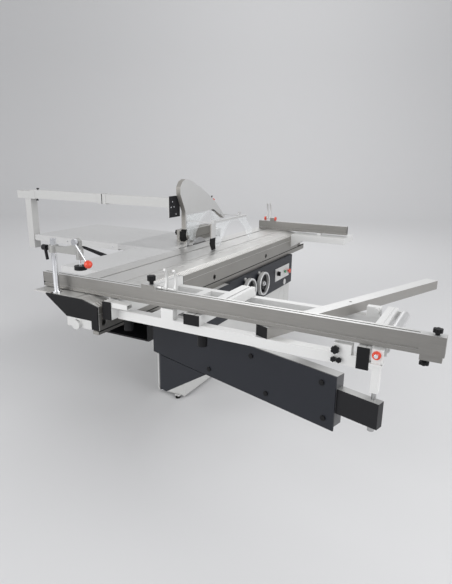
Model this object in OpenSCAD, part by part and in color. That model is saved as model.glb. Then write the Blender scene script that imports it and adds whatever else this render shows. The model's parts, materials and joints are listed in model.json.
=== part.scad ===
// Sliding table saw with a long aluminium carriage, an outrigger frame on a swing arm,
// an overhead blade guard and a tilting saw unit.
// X runs across the machine to the outrigger, Y along the carriage to the operator, Z up.
// X = 0 is the carriage's edge beside the blade. The origin is on the floor.

/* [Tables] */
// Height of the table tops above the floor
table_h = 900; // [880:1:920]
// Width of the cast iron main table
main_w = 565; // [520:1:600]
// Length of the cast iron main table
main_l = 850; // [840:1:880]
// Depth of the main table's edge ribs
main_rib = 45; // [35:1:55]
// Width of the side extension table
side_w = 1015; // [900:1:1100]
// Depth of the side table's folded edge
side_lip = 55; // [40:1:60]
// Length of the outfeed extension table
outfeed_l = 868; // [700:1:880]
// Width of the outfeed extension table
outfeed_w = 336; // [280:1:380]
// Thickness of the table insert beside the blade
insert_t = 6; // [4:1:8]

/* [Sliding table] */
// Length of the sliding table
slide_l = 3000; // [2900:1:3060]
// Width of the sliding table
slide_w = 480; // [475:1:486]
// Wall of the sliding table's extrusion
slide_wall = 6; // [4:0.5:8]
// Width of the clamping groove along the sliding table
groove_w = 16; // [10:1:20]
// Width of the fixed beam under the sliding table
beam_w = 220; // [200:1:226]
// Length of the fixed beam
beam_l = 3215; // [3150:1:3260]

/* [Base] */
// Width of the base cabinet
cabinet_w = 730; // [700:1:734]
// Length of the base cabinet
cabinet_l = 1400; // [1380:1:1420]
// Thickness of the cabinet's sheet steel
sheet = 4; // [3:0.5:6]
// Width of the leg under the beam
leg_w = 226; // [200:1:230]
// Height of the levelling feet
foot_h = 18; // [12:1:24]
// Diameter of the dust port under the saw unit
port_d = 120; // [100:1:125]

/* [Saw unit] */
// Diameter of the saw blade
blade_d = 315; // [250:1:318]
// Thickness of the saw blade
blade_t = 3.2; // [2.8:0.1:3.6]
// Height of the blade above the table
blade_up = 50; // [30:1:60]
// Diameter of the arbor
arbor_d = 30; // [28:1:34]
// Diameter of the scoring blade
scorer_d = 120; // [100:1:124]
// Diameter of the motor body
motor_d = 160; // [130:1:166]

/* [Guard] */
// Side of the guard's square post
post_w = 75; // [60:1:80]
// Side of the guard's square arm
arm_w = 77; // [60:1:80]
// Width of the blade hood
hood_w = 40; // [34:1:50]
// Wall of the blade hood
hood_wall = 3; // [2:0.5:4]

/* [Fences] */
// Height of the fence extrusions
fence_h = 84; // [70:1:90]
// Thickness of the fence extrusions
fence_t = 45; // [40:1:50]
// Length of the crosscut fence
fence_l = 2070; // [1900:1:2090]
// Length of the short fence on the sliding table
short_fence_l = 946; // [800:1:960]
// Width of the rip fence
rip_w = 107; // [90:1:110]
// Height of the rip fence
rip_h = 107; // [90:1:110]

/* [Outrigger] */
// Side of the outrigger's square tubes
tube_w = 50; // [40:1:52]
// Wall of the outrigger's tubes
tube_wall = 4; // [3:0.5:5]
// Width of the diagonal support bar
bar_w = 75; // [60:1:80]
// Diameter of the stock roller
roller_d = 50; // [40:1:56]
// Length of the stock roller
roller_l = 515; // [450:1:530]
// Diameter of the clamp column
column_d = 32; // [28:1:36]

/* [Swing arm] */
// Height of the swing arm's cover
cover_h = 264; // [240:1:270]
// Length of the swing arm's cover
cover_l = 1300; // [1200:1:1310]
// Thickness of the swing arm's front plate
cover_t = 8; // [5:1:12]
// Width of the telescopic tube
tele_w = 44; // [40:1:46]
// Height of the telescopic tube
tele_h = 118; // [100:1:120]
// Diameter of the swing arm's pivot pin
pivot_d = 30; // [25:1:34]

/* [Controls] */
// Diameter of the handwheels
wheel_d = 210; // [160:1:220]
// Diameter of the start button
button_d = 30; // [24:1:36]
// Diameter of the stop button's mushroom head
stop_d = 44; // [38:1:50]

/* [Hidden] */
$fn = 48;
eps = 1;
gap = 3;
run = 0.05;
clear = 0.3;

light = [0.79, 0.79, 0.78];
dark = [0.2, 0.2, 0.23];
black = [0.09, 0.09, 0.1];
anodised = [0.6, 0.59, 0.57];
iron = [0.58, 0.58, 0.58];
chrome = [0.85, 0.86, 0.88];
red = [0.88, 0.25, 0.12];
clearish = [0.85, 0.9, 0.92, 0.4];

// Edges of the main table, to the left of the carriage
main_x1 = -gap;
main_x0 = main_x1 - main_w;
main_y0 = -370;
main_y1 = main_y0 + main_l;
side_x1 = main_x0 - clear;
side_x0 = side_x1 - side_w;
insert_x0 = -70;
blade_gap = 20;
mouth_y0 = -250;
mouth_y1 = 360;
iron_t = 14;
rib_t = 12;
saddle_z = table_h - main_rib;

slide_y0 = -1765;
slide_y1 = slide_y0 + slide_l;
beam_top = table_h - 115;
beam_h = 103;
beam_x0 = 250;
beam_x1 = beam_x0 + beam_w;
slide_bottom = table_h - 164;
ledge_x = 432;
rib_x1 = 446;
beam_z = beam_top - beam_h;

cabinet_x0 = -260;
cabinet_x1 = cabinet_x0 + cabinet_w;
cabinet_y0 = -340;
cabinet_y1 = cabinet_y0 + cabinet_l;
cabinet_top = beam_z - 15;
leg_x0 = 290;
leg_y0 = -1004;
saddle_x0 = -540;
saddle_x1 = 90;
saddle_y1 = main_y1 - 10;
panel_t = 28;
panel_y0 = cabinet_y0 + 10;
panel_y1 = 1040;
panel_z0 = cabinet_top - 262;
panel_z1 = beam_z + 6;

blade_x = -14;
blade_y = 60;
blade_z = table_h + blade_up - blade_d / 2;
motor_y = 60;
motor_z = blade_z - 205;
motor_l = 150;
motor_x1 = -66;
belt_x = -44;
belt_w = 16;
big_r = 44;
small_r = 34;
scorer_y = 290;
scorer_z = table_h + 2 - scorer_d / 2;
arc_r = 100;
arc_t = 14;
shoe_l = 18;
plate_l = 12;

post_gap = 33;
post_x0 = side_x0 - post_gap - post_w;
post_y = -322.5;
arm_z = table_h + 379;
arm_x1 = -42.5;
head_w = 233;
head_h = 71;
head_out = 95;
arm_z0 = arm_z - arm_w / 2;
flange_x = -773;

// Side outline of the blade hood: Y, and height above the table
hood_points = [[-185, 150], [-185, 300], [-205, 340], [-257, 444], [-257, 500], [-225, 540],
    [-180, 559], [-151, 558], [-102, 549], [72, 479], [270, 373], [353, 315], [503, 190],
    [480, 180], [285, 278], [-165, 270], [-165, 150]];
hood_x0 = -14 - hood_w / 2;
hood_x1 = -14 + hood_w / 2;
shroud_x = 260;
rim_w = 30;

fence_z = table_h + gap;
fence_x0 = -10;
fence_y0 = -1680;
mitre_x = 120;
short_y = 1181;
short_x0 = 53;
rip_x1 = -115;
rip_y0 = 20;
rail_y = 560;
rail_z = table_h - 62;
rail_d = 40;

pivot_x = 545;
tube_top = table_h - 55;
front_y = -1690;
back_y = -1107;
left_x = 490;
rail_w = 55;
rail_l = 690;
mid_x = 976;
mid_w = 87;
strut_x = pivot_x + cover_l + 67;
right_x = strut_x - 83;
right_w = 52;
roller_x = strut_x + 8;
bar_turn = 22.9;
support_x = strut_x - 275;
support_y = back_y + tube_w / 2;
bar_h = 55;
strut_y = -1690;
strut_w = 34;
strut_z = table_h - 196;

pivot_y = -1294;
arm_turn = atan2(strut_y - pivot_y, strut_x - pivot_x);
arm_len = norm([strut_x - pivot_x, strut_y - pivot_y]);
cover_z1 = table_h - 169;
cover_y = -62;
ear_z = 215;
ear_t = 14;
arm_drop = 51;
top_ear_z = table_h - 216;
tele_z0 = table_h - 347;

rise_y = 262;
tilt_y = -14;
wheel_z = cabinet_top - 111;
wheel_x = cabinet_x1 + 42;
boss_d = 40;
shaft_d = 20;
plate_y0 = 608;
plate_y1 = 956;
plate_z0 = cabinet_top - 178;
plate_z1 = cabinet_top - 56;
start_y = 845;
start_z = cabinet_top - 120;
stop_y = 928;
stop_z = cabinet_top - 128;
switch_y = 667;
switch_z = cabinet_top - 107;
stub_d = 16.6;

clamp_x = 150;
clamp_y = slide_y0 + 30;
spindle_x = 342;
spindle_d = 14;
eye_x = 331;
eye_z = table_h + 300;
near_stop_x = 700;
far_stop_x = 125;
face_x = cabinet_x1 + panel_t + 4;

// Box from one corner to the other
module box(a, b) {
    translate(a) cube(b - a);
}

// Square tube of width w, height h and length l along Y, from its lower near corner
module tube_y(w, h, l, wall) {
    difference() {
        cube([w, l, h]);
        translate([wall, -eps, wall]) cube([w - 2 * wall, l + 2 * eps, h - 2 * wall]);
    }
}

// The same tube along X
module tube_x(l, w, h, wall) {
    difference() {
        cube([l, w, h]);
        translate([-eps, wall, wall]) cube([l + 2 * eps, w - 2 * wall, h - 2 * wall]);
    }
}

// Outline in Y and Z, l thick along X
module yz_plate(l) {
    rotate([90, 0, 90]) linear_extrude(l) children();
}

// Outline in X and Z, l long along Y
module xz_plate(l) {
    translate([0, l, 0]) rotate([90, 0, 0]) linear_extrude(l) children();
}

// Round bar along X
module bar_x(d, l) {
    rotate([0, 90, 0]) cylinder(d = d, h = l);
}

// Round bar along Y
module bar_y(d, l) {
    rotate([-90, 0, 0]) cylinder(d = d, h = l);
}

// Lobed grip knob standing on its stem, top up
module grip_knob(d, h) {
    cylinder(d = d * 0.5, h = h * 0.4);
    translate([0, 0, h * 0.4]) difference() {
        cylinder(d = d, h = h * 0.6);
        for (a = [0:60:300]) rotate(a) translate([d * 0.58, 0, -eps]) cylinder(d = d * 0.34, h = h);
    }
}

// Swing arm frame: X along the arm from its pivot
module arm_frame() {
    translate([pivot_x, pivot_y, 0]) rotate(arm_turn) children();
}

module base_cabinet() {
    color(light) {
        difference() {
            box([cabinet_x0, cabinet_y0, 0], [cabinet_x1, cabinet_y1, cabinet_top]);
            box([cabinet_x0 + sheet, cabinet_y0 + sheet, sheet],
                [cabinet_x1 - sheet, cabinet_y1 - sheet, cabinet_top - sheet]);
            box([cabinet_x0 + sheet, cabinet_y0 + sheet, sheet],
                [cabinet_x1 - sheet, saddle_y1 - 10, cabinet_top + eps]);
            translate([cabinet_x0 - eps, motor_y, 150]) bar_x(port_d - 8, 3 * sheet);
        }
        box([saddle_x0, cabinet_y0, cabinet_top], [saddle_x1, cabinet_y0 + 10, saddle_z]);
        box([saddle_x0, saddle_y1 - 10, cabinet_top], [saddle_x1, saddle_y1, saddle_z]);
        box([saddle_x0, cabinet_y0 + 10, cabinet_top],
            [saddle_x0 + 6, saddle_y1 - 10, saddle_z]);
        box([saddle_x0, cabinet_y0, cabinet_top - 6], [cabinet_x0, saddle_y1, cabinet_top]);
        translate([blade_x, cabinet_y0 + 10, table_h]) trunnion_arc(shoe_l, arc_r - arc_t, arc_r - run);
        translate([blade_x, saddle_y1 - 10 - shoe_l, table_h])
            trunnion_arc(shoe_l, arc_r - arc_t, arc_r - run);
    }
}

// Arc of a half-moon trunnion about the tilt axis, l long along Y
module trunnion_arc(l, r0, r1) {
    xz_plate(l) intersection() {
        difference() {
            circle(r = r1, $fn = 96);
            circle(r = r0, $fn = 96);
        }
        polygon([[0, 0], [-200, -200], [0, -300], [200, -200]]);
    }
}

module base_leg() {
    color(light) {
        difference() {
            box([leg_x0, leg_y0, foot_h], [leg_x0 + leg_w, cabinet_y0, beam_z]);
            box([leg_x0 + sheet, leg_y0 + sheet, foot_h + sheet],
                [leg_x0 + leg_w - sheet, cabinet_y0 - sheet, beam_z - sheet]);
        }
        difference() {
            box([leg_x0 + 160, leg_y0 - 26, foot_h], [leg_x0 + 196, leg_y0, foot_h + 8]);
            translate([leg_x0 + 178, leg_y0 - 13, foot_h - eps]) cylinder(d = 12, h = 10);
        }
        for (y = [cabinet_y0 + 60, cabinet_y1 - 100])
            box([beam_x0 + 40, y, cabinet_top], [beam_x1 - 40, y + 60, beam_z]);
    }
}

module floor_feet() {
    color(black) {
        translate([leg_x0 + 178, leg_y0 - 13, 0]) cylinder(d = 34, h = foot_h);
        for (x = [leg_x0 + 50, leg_x0 + leg_w - 50])
            translate([x, leg_y0 + 60, 0]) cylinder(d = 60, h = foot_h);
    }
}

module fixed_beam() {
    color(anodised) difference() {
        box([beam_x0, slide_y0, beam_z], [beam_x1, slide_y0 + beam_l, beam_top - clear]);
        box([ledge_x - 2, slide_y0 - eps, slide_bottom - 8],
            [beam_x1 + eps, slide_y0 + beam_l + eps, beam_top]);
        box([beam_x0 - eps, slide_y0 - eps, beam_z - eps],
            [ledge_x - 2, slide_y0 + 430, beam_z + 52]);
        box([beam_x0 - eps, slide_y0 - eps, beam_z - eps],
            [beam_x1 + eps, slide_y0 + 430, beam_z + 26]);
        box([beam_x0 + 14, slide_y0 - eps, beam_z + 14],
            [ledge_x - 16, slide_y0 + beam_l + eps, beam_top - 14]);
    }
}

module beam_bumper() {
    color(light) {
        box([beam_x0, slide_y0 - 6, beam_z + 50], [ledge_x - 4, slide_y0, beam_top - clear]);
        translate([328, slide_y0 - 24, beam_top - 34]) bar_y(55, 18);
        box([beam_x0, slide_y0 + beam_l, beam_z + 4],
            [ledge_x - 4, slide_y0 + beam_l + 6, beam_top - 4]);
    }
}

module arm_bracket() {
    color(black) {
        difference() {
            box([beam_x0 - 140, -1320, beam_z - 162], [beam_x1 - 10, leg_y0, beam_z]);
            box([beam_x0 - 130, -1320 - eps, beam_z - 152], [beam_x1 - 20, leg_y0 - 8, beam_z - 10]);
        }
        translate([0, 0, top_ear_z]) linear_extrude(16 - clear) difference() {
            polygon([[beam_x1 + clear, -1380], [pivot_x, pivot_y - 30],
                [pivot_x + 28, pivot_y], [pivot_x, pivot_y + 30], [beam_x1 + clear, -1200]]);
            translate([pivot_x, pivot_y]) circle(d = pivot_d);
        }
        box([beam_x1, -1380, beam_z - 30], [beam_x1 + 8, -1200, top_ear_z]);
        box([beam_x1 - 60, -1320, beam_z - 30], [beam_x1, -1200, beam_z]);
        translate([0, 0, ear_z]) linear_extrude(ear_t) difference() {
            polygon([[leg_x0 + 130, leg_y0], [leg_x0 + leg_w, leg_y0], [pivot_x + 30, pivot_y],
                [pivot_x, pivot_y - 30], [pivot_x - 30, pivot_y]]);
            translate([pivot_x, pivot_y]) circle(d = pivot_d);
        }
    }
}

module arm_pivot_pin() {
    color(chrome) translate([pivot_x, pivot_y, 0]) {
        translate([0, 0, ear_z - 1]) cylinder(d = pivot_d, h = top_ear_z + 18 - ear_z);
        translate([0, 0, ear_z - 7]) cylinder(d = pivot_d + 10, h = 7);
    }
}

module main_table() {
    color(iron) difference() {
        union() {
            box([main_x0, main_y0, table_h - iron_t], [main_x1, main_y1, table_h]);
            difference() {
                box([main_x0, main_y0, saddle_z], [main_x1, main_y1, table_h - iron_t]);
                box([main_x0 + rib_t, main_y0 + rib_t, saddle_z - eps],
                    [main_x1 - rib_t, main_y1 - rib_t, table_h - iron_t]);
            }
            for (x = [main_x0 + 160, main_x0 + 320, insert_x0 - 20])
                box([x, main_y0 + eps, saddle_z], [x + rib_t, main_y1 - eps, table_h - iron_t]);
            for (y = [cabinet_y0, saddle_y1 - rib_t])
                box([main_x0 + eps, y, saddle_z], [main_x1, y + rib_t, table_h - iron_t]);
        }
        box([insert_x0 + 6, mouth_y0, saddle_z - eps], [main_x1 + eps, mouth_y1, table_h + eps]);
        box([insert_x0 - 5 - clear, mouth_y0 - 15, table_h - insert_t],
            [main_x1 + eps, mouth_y1 + 15, table_h + eps]);
    }
}

module table_insert() {
    color(light) difference() {
        box([insert_x0 - 5, mouth_y0 - 14, table_h - insert_t],
            [-blade_gap, mouth_y1 + 14, table_h]);
        for (y = [mouth_y0 - 6, mouth_y1 + 6])
            translate([insert_x0 + 10, y, table_h - insert_t - eps]) cylinder(d = 6, h = insert_t + 2);
    }
}

module side_table() {
    lip = 3;
    color(light) {
        difference() {
            box([side_x0, main_y0, table_h - side_lip], [side_x1, main_y1, table_h]);
            box([side_x0 + lip, main_y0 + lip, table_h - side_lip - eps],
                [side_x1 - lip, main_y1 - lip, table_h - lip]);
        }
    }
    color(chrome) for (x = [side_x0 + 420, side_x1 - 60])
        translate([x, main_y0 - 4, table_h - 30]) bar_y(14, 4);
}

module side_braces() {
    color(black) for (y = [main_y0 + 60, main_y1 - 90]) {
        translate([0, y, 0]) xz_plate(30) polygon([[saddle_x0, table_h - 210], [saddle_x0, table_h - 170],
            [side_x0 + 420, table_h - side_lip], [side_x0 + 370, table_h - side_lip]]);
        box([side_x0 + 200, y, table_h - side_lip - 8], [side_x1 - 40, y + 30, table_h - side_lip]);
    }
}

module outfeed_table() {
    ribs = 42;
    color(light) {
        difference() {
            box([main_x1 - outfeed_w, main_y0 - outfeed_l, table_h - ribs],
                [main_x1, main_y0 - clear, table_h]);
            box([main_x1 - outfeed_w + 4, main_y0 - outfeed_l + 4, table_h - ribs - eps],
                [main_x1 - 4, main_y0 - 5, table_h - 4]);
        }
        for (x = [main_x1 - outfeed_w + 60, main_x1 - 90])
            union() {
                box([x, main_y0 - 40, saddle_z - 8], [x + 30, main_y0 + rib_t, saddle_z]);
                box([x, main_y0 - 40, saddle_z - 8], [x + 30, main_y0 - clear, table_h - ribs]);
            }
    }
}

module guard_post() {
    foot_z = table_h - 135;
    sleeve_z = table_h + 335;
    y0 = post_y - post_w / 2;
    y1 = post_y + arm_w / 2;
    color(light) {
        translate([post_x0, y0, foot_z]) difference() {
            cube([post_w, post_w, sleeve_z - foot_z]);
            translate([tube_wall, tube_wall, tube_wall])
                cube([post_w - 2 * tube_wall, post_w - 2 * tube_wall, sleeve_z - foot_z]);
        }
        box([post_x0 - head_out, y0 - 4, sleeve_z], [post_x0 + head_w - head_out, y1, arm_z0]);
        box([post_x0 - head_out, y0 - 4, arm_z0], [post_x0 + head_w - head_out,
            post_y - arm_w / 2 - clear, sleeve_z + head_h]);
        box([post_x0 - head_out, post_y - arm_w / 2 - clear, arm_z0], [post_x0 - head_out + 6, y1,
            sleeve_z + head_h]);
        box([post_x0 + post_w, y0 + 10, table_h - side_lip], [side_x0, y0 + 60, table_h - 10]);
    }
    color(black) translate([post_x0 + head_w - head_out - 16, post_y, sleeve_z]) rotate([180, 0, 0])
        grip_knob(24, 18);
}

module rip_rail() {
    color(chrome) translate([side_x0, rail_y, rail_z]) bar_x(rail_d, side_w + main_w - 20);
    color(dark) for (x = [side_x0 + 120, side_x0 + 700, main_x0 + 80, main_x1 - 120])
        translate([x, 0, 0]) difference() {
            union() {
                box([0, main_y1, rail_z - 34], [26, rail_y + 8, rail_z - 4]);
                box([0, main_y1, rail_z - 34], [26, main_y1 + 8, table_h - 8]);
            }
            translate([-eps, rail_y, rail_z]) bar_x(rail_d, 30);
        }
}

module control_panel() {
    color(dark) difference() {
        union() {
            box([cabinet_x1, panel_y0, panel_z0], [cabinet_x1 + panel_t, panel_y1, cabinet_top]);
            box([cabinet_x1 + clear, panel_y0, cabinet_top - eps],
                [cabinet_x1 + panel_t, panel_y1, panel_z1]);
            box([cabinet_x1, cabinet_y0, panel_z0], [leg_x0 + leg_w + 4, panel_y0, panel_z1]);
            box([leg_x0 + leg_w, cabinet_y0 - 360, panel_z0],
                [leg_x0 + leg_w + 4, cabinet_y0, panel_z1]);
            for (y = [rise_y, tilt_y])
                translate([cabinet_x1, y, wheel_z]) bar_x(boss_d, panel_t + 13);
        }
        for (y = [rise_y, tilt_y])
            translate([cabinet_x1 - eps, y, wheel_z]) bar_x(shaft_d, panel_t + 20);
        controls_holes();
    }
    color(light) {
        difference() {
            box([cabinet_x1 + panel_t, plate_y0, plate_z0], [face_x, plate_y1, plate_z1]);
            controls_holes();
        }
        translate([cabinet_x1 + panel_t, 848, cabinet_top - 225]) bar_x(58, 6);
    }
}

// Holes for the buttons and the switch in the control plate
module controls_holes() {
    translate([face_x - 26, start_y, start_z]) bar_x(stub_d, 40);
    translate([face_x - 26, stop_y, stop_z]) bar_x(stub_d, 40);
    translate([face_x - 26, switch_y, switch_z]) bar_x(stub_d, 40);
}

module dust_port() {
    color(light) translate([cabinet_x0 - 70, motor_y, 150]) difference() {
        union() {
            bar_x(port_d, 70);
            translate([64, 0, 0]) bar_x(port_d + 40, 6);
        }
        translate([-eps, 0, 0]) bar_x(port_d - 8, 80);
    }
}

module rip_fence() {
    fence_top = table_h + rip_h + clear;
    y1 = rail_y - 50;
    z0 = table_h + clear;
    color(anodised) difference() {
        box([rip_x1 - rip_w, rip_y0, z0], [rip_x1, y1, fence_top]);
        box([rip_x1 - rip_w + 30, rip_y0 - eps, z0 + 10], [rip_x1 - 30, y1 + eps, fence_top - 14]);
        box([rip_x1 - 10, rip_y0 - eps, table_h + 24], [rip_x1 + eps, y1 + eps, table_h + 38]);
        box([rip_x1 - 60, rip_y0 - eps, fence_top - 12], [rip_x1 - 48, y1 + eps, fence_top + eps]);
    }
    color(light) difference() {
        union() {
            box([rip_x1 - rip_w - 40, y1, z0], [rip_x1 + 20, rail_y + 40, table_h + 60]);
            box([rip_x1 - rip_w - 40, rail_y - rail_d / 2 - 14, rail_z],
                [rip_x1 + 20, rail_y + rail_d / 2 + 14, z0]);
        }
        translate([rip_x1 - rip_w - 41, rail_y, rail_z]) bar_x(rail_d + 2 * clear, rip_w + 62);
    }
    color(black) {
        for (y = [rip_y0 + 60, rip_y0 + 240])
            translate([rip_x1 - rip_w, y, table_h + 72]) rotate([0, -90, 0]) grip_knob(48, 44);
        translate([rip_x1 - 60, rail_y + 40, table_h + 34]) rotate([-90, 0, 0]) grip_knob(50, 44);
    }
}

module guard_arm() {
    y0 = post_y - arm_w / 2;
    plate_z0 = table_h + 260;
    plate_z1 = table_h + 430;
    color(light) {
        translate([post_x0 + 78, y0, arm_z0]) tube_x(flange_x - post_x0 - 78, arm_w, arm_w, tube_wall);
        translate([flange_x + 84, y0, arm_z0]) tube_x(arm_x1 - flange_x - 84, arm_w, arm_w, tube_wall);
        for (x = [flange_x, flange_x + 46])
            box([x, y0 - 4, arm_z0 - 8], [x + 38, y0 + arm_w + 2, arm_z0 + arm_w + 2]);
        box([post_x0 - 8, y0 + 10, arm_z0 + clear], [post_x0 + 78, y0 + arm_w - 10, arm_z0 + arm_w - 6]);
    }
    color(black) {
        box([flange_x + 38, y0 + 8, arm_z0 + 4], [flange_x + 46, y0 + arm_w - 8, arm_z0 + arm_w - 4]);
        translate([post_x0 + 140, post_y, arm_z0 + arm_w]) grip_knob(24, 16);
        box([arm_x1, y0, plate_z0], [hood_x0 - clear, -206, plate_z1]);
    }
    color(chrome) for (p = [[-318, 386], [-338, 344], [-296, 344], [-270, 284]])
        translate([hood_x0 - clear, p[0], table_h + p[1]]) bar_x(12, 5);
}

// Hollow hood over the blade, open below, with a leg at its near end
module guard_hood() {
    color(anodised) difference() {
        translate([hood_x0, 0, 0]) yz_plate(hood_w) hood_outline(0);
        translate([hood_x0 + hood_wall, 0, 0]) yz_plate(hood_w - 2 * hood_wall)
            hood_outline(hood_wall);
        box([hood_x0 + hood_wall, -165 - hood_wall - eps, table_h + 250],
            [hood_x1 - hood_wall, 430, table_h + 284]);
    }
    color(red) translate([(hood_x0 + hood_x1) / 2, 302, table_h + 351]) rotate([-38, 0, 0])
        cylinder(d = 26, h = 18);
    color(black) translate([(hood_x0 + hood_x1) / 2, 270, table_h + 372]) rotate([-38, 0, 0])
        cylinder(d = 12, h = 30);
}

// Side outline of the hood in Y and Z, drawn in by a wall
module hood_outline(wall) {
    translate([0, table_h]) offset(delta = -wall) polygon(hood_points);
}

module guard_screens() {
    color(clearish) {
        for (x = [hood_x0 + hood_wall + clear, hood_x1 - hood_wall - clear - 4])
            translate([x, 0, 0]) difference() {
                yz_plate(4) translate([0, table_h]) polygon([[-164.7, 268], [-164.7, 160], [-110, 48],
                    [-71, 42], [-22, 30], [20, 110], [46, 183], [183, 257], [260, 258], [311, 154],
                    [340, 120], [400, 190], [300, 262]]);
                translate([-eps, 60, table_h + 60]) bar_x(170, 6);
                translate([-x, 0, 0]) box([hood_x0, -160, table_h], [hood_x0 + hood_wall + 8, -50,
                    table_h + 86]);
            }
        translate([shroud_x + 2, 0, 0]) yz_plate(5) translate([0, table_h]) polygon([[-140, 216],
            [-140, gap + 20], [-58, gap + 20], [27, 144], [124, 201], [256, 208], [389, 127],
            [487, gap + 4], [550, gap + 40], [570, 89], [405, 216]]);
    }
}

module shroud_frame() {
    color(light) translate([0, 0, table_h]) {
        for (y = [-180, 405]) box([hood_x1 + clear, y, 218], [shroud_x - rim_w, y + 15, 226]);
        box([shroud_x - rim_w, -180, 220], [shroud_x + 10, 425, 226]);
        box([shroud_x, -180, 216], [shroud_x + 10, 425, 234]);
        box([shroud_x, -212, 100], [shroud_x + 10, -140 - clear, 220]);
        box([shroud_x - 14, -176, 226], [shroud_x + 10, -130, 243]);
        box([shroud_x, 270, 234], [shroud_x + 10, 306, 273]);
    }
}

module guard_brushes() {
    color(black) {
        translate([hood_x0, 0, table_h]) yz_plate(hood_w) polygon([[-185, 150],
            [-165, 150], [-178, 110], [-165, 60], [-200, 48], [-218, 90]]);
        translate([shroud_x, 0, table_h]) yz_plate(10) polygon([[-217, 100], [-143, 100],
            [-150, 50], [-141, gap], [-196, gap], [-226, 60]]);
    }
}

module tilt_frame() {
    rail_x = -150;
    y0 = cabinet_y0 + 10 + shoe_l - plate_l;
    y1 = saddle_y1 - 10 - shoe_l;
    color(iron) {
        for (y = [y0, y1]) translate([0, y, 0]) {
            translate([blade_x, 0, table_h]) xz_plate(plate_l) intersection() {
                difference() {
                    circle(r = arc_r + 70, $fn = 96);
                    circle(r = arc_r, $fn = 96);
                }
                polygon([[0, 0], [-300, -190], [-100, -300], [0, -300]]);
            }
            box([rail_x, 0, blade_z - 60], [rail_x + 30, plate_l, blade_z - 10]);
        }
        box([rail_x, y0, blade_z - 60], [rail_x + 12, y1 + plate_l, blade_z - 10]);
        difference() {
            box([rail_x, scorer_y - 24, scorer_z - 60], [-60, scorer_y + 24, scorer_z + 12]);
            translate([rail_x + 40, scorer_y, scorer_z]) bar_x(20 + 2 * run, 100);
        }
    }
}

module arbor_carrier() {
    color(iron) difference() {
        union() {
            box([-138 + clear, -220, blade_z - 30], [-60, 220, blade_z + 30]);
            box([-138 + clear, 0, motor_z + motor_d / 2], [-120, 120, blade_z]);
        }
        translate([-151, blade_y, blade_z]) bar_x(arbor_d + 2 * run, 100);
    }
}

module main_motor() {
    color(dark) difference() {
        translate([motor_x1 - motor_l + 20, motor_y, motor_z]) bar_x(motor_d, motor_l - 20);
        translate([motor_x1 - 60, motor_y, motor_z]) bar_x(24 + 2 * run, 62);
    }
}

module drive_belt() {
    r1 = big_r + 5;
    r2 = small_r + 5;
    color(black) translate([belt_x, 0, 0]) yz_plate(belt_w) difference() {
        hull() {
            translate([blade_y, blade_z]) circle(r = r2 + clear);
            translate([motor_y, motor_z]) circle(r = r1 + clear);
        }
        hull() {
            translate([blade_y, blade_z]) circle(r = small_r + clear);
            translate([motor_y, motor_z]) circle(r = big_r + clear);
        }
    }
}

module riving_knife() {
    color(chrome) {
        translate([blade_x - 1.4, 0, 0]) yz_plate(2.8) polygon([[blade_y - 175, blade_z - 20],
            [blade_y - 215, blade_z + 20], [blade_y - 200, table_h + 30], [blade_y - 145, table_h + 78],
            [blade_y - 130, table_h + 70], [blade_y - 165, table_h]]);
        box([-60 + clear, blade_y - 212, blade_z - 18], [blade_x - 1.4, blade_y - 182, blade_z + 2]);
    }
}

// Toothed disc, teeth cut with gullets
module toothed_disc(d, t, teeth) {
    difference() {
        bar_x(d, t, $fn = 96);
        for (i = [0:teeth - 1]) rotate([i * 360 / teeth, 0, 0])
            translate([-eps, 0, d / 2 - 3]) rotate([35, 0, 0]) cube([t + 2, 5, 12]);
    }
}

module saw_blade() {
    color(chrome) translate([blade_x, blade_y, blade_z]) {
        difference() {
            translate([-blade_t / 2, 0, 0]) toothed_disc(blade_d, blade_t, 48);
            translate([-5, 0, 0]) bar_x(arbor_d, 10);
        }
        translate([-123, 0, 0]) bar_x(arbor_d, 127);
        translate([blade_t / 2, 0, 0]) bar_x(60, 5);
        translate([-blade_t / 2 - 8, 0, 0]) bar_x(70, 8);
    }
    color(iron) translate([belt_x, blade_y, blade_z]) bar_x(2 * small_r, belt_w);
}

module motor_pulley() {
    color(iron) translate([0, motor_y, motor_z]) {
        translate([belt_x, 0, 0]) bar_x(2 * big_r, belt_w);
        translate([motor_x1 - 58, 0, 0]) bar_x(24, belt_x - motor_x1 + 60);
    }
}

module scoring_blade() {
    color(chrome) translate([blade_x, scorer_y, scorer_z]) {
        translate([-blade_t / 2, 0, 0]) toothed_disc(scorer_d, blade_t, 24);
        translate([-90, 0, 0]) bar_x(20, 94);
        translate([-blade_t / 2 - 8, 0, 0]) bar_x(46, 8);
        translate([blade_t / 2, 0, 0]) bar_x(36, 4);
    }
}

// Handwheel with a rounded rim, a dished web, a hub and a crank knob, facing +X
module handwheel() {
    color(light) rotate([0, 90, 0]) {
        rotate_extrude() translate([wheel_d / 2 - 17, 2]) offset(r = 5) offset(delta = -5) square([17, 36]);
        cylinder(d = 44, h = 30);
        translate([0, 0, cabinet_x1 + eps - wheel_x]) cylinder(d = shaft_d - 2 * run, h = 45);
    }
    color(black) rotate([0, 90, 0]) {
        difference() {
            translate([0, 0, 8]) cylinder(d = wheel_d - 24, h = 6);
            for (a = [30:120:270]) rotate(a) translate([wheel_d * 0.26, 0, 0]) cylinder(d = 44, h = 30);
            translate([0, 0, 7]) cylinder(d = 44, h = 8);
        }
        translate([wheel_d * 0.26, -wheel_d * 0.16, 14]) cylinder(d = 22, h = 36);
    }
    color(chrome) translate([30, 0, 0]) bar_x(30, 8);
}

module rise_handwheel() {
    translate([wheel_x, rise_y, wheel_z]) handwheel();
}

module tilt_handwheel() {
    translate([wheel_x, tilt_y, wheel_z]) handwheel();
}

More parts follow.
